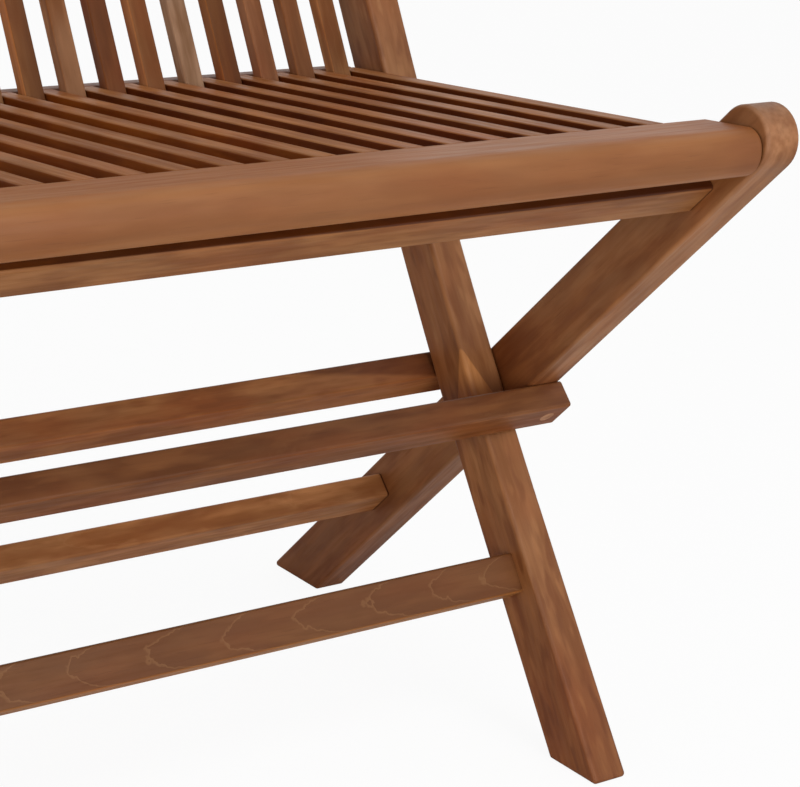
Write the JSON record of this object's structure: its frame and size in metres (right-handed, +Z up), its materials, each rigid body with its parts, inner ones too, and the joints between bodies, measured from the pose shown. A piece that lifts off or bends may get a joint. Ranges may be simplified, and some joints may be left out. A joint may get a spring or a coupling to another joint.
{
  "type": "folding chair",
  "caption": "Armless folding patio chair of slatted teak: crossed frames turn on bolts, and the slatted seat folds up against the slatted back.",
  "frame": {"origin": "on the floor, under the middle of the open chair's width and depth", "axes": "+Z up, +Y to the chair's back, X across the seat; the right side is +X"},
  "size_m": [0.564, 0.6226, 0.8825],
  "materials": {
    "teak": "oiled, with open straight grain",
    "plug": "oiled, end grain",
    "steel": "satin stainless"
  },
  "bodies": {
    "back_frame": {"back_post_right": "teak", "back_post_left": "teak", "crest_rail": "teak", "back_bottom_rail": "teak", "front_lower_stretcher": "teak", "back_slat_01": "teak", "back_slat_02": "teak", "back_slat_03": "teak", "back_slat_04": "teak", "back_slat_05": "teak", "back_slat_06": "teak", "back_slat_07": "teak", "back_slat_08": "teak", "back_slat_09": "teak", "back_slat_10": "teak", "back_slat_11": "teak", "back_slat_12": "teak", "back_slat_13": "teak", "back_slat_14": "teak", "back_slat_15": "teak", "crossing_bolts": "steel", "crossing_inserts": "steel"},
    "leg_frame": {"back_stop_bar": "teak", "crossing_spacers": "steel", "crossing_washers": "steel", "front_stop_bar": "teak", "outer_leg_left": "teak", "outer_leg_right": "teak", "rear_lower_stretcher": "teak", "seat_pivot_spacers": "steel", "seat_pivot_washers": "steel", "stop_bar_plugs": "plug", "stop_bar_screws": "steel", "under_seat_stretcher": "teak"},
    "seat": {"seat_front_rail": "teak", "seat_rear_rail": "teak", "seat_slat_01": "teak", "seat_slat_02": "teak", "seat_slat_03": "teak", "seat_slat_04": "teak", "seat_slat_05": "teak", "seat_slat_06": "teak", "seat_slat_07": "teak", "seat_slat_08": "teak", "seat_slat_09": "teak", "seat_slat_10": "teak", "seat_slat_11": "teak", "seat_slat_12": "teak", "seat_slat_13": "teak", "seat_slat_14": "teak", "seat_slat_15": "teak", "seat_slat_16": "teak", "seat_pivot_bolts": "steel", "seat_pivot_inserts": "steel"}
  },
  "joints": [
    {"name": "fold", "type": "hinge", "parent": "back_frame", "child": "leg_frame", "pos_m": [0, -0.07281, 0.2146], "axis": [-1, 0, 0], "range_deg": [0, 68]},
    {"name": "seat_turn", "type": "hinge", "parent": "leg_frame", "child": "seat", "pos_m": [0, -0.28457, 0.4227], "axis": [1, 0, 0], "range_deg": [0, 118]}
  ],
  "couplings": [
    {"joint": "seat_turn", "follows": "fold", "ratio": 1.73}
  ]
}
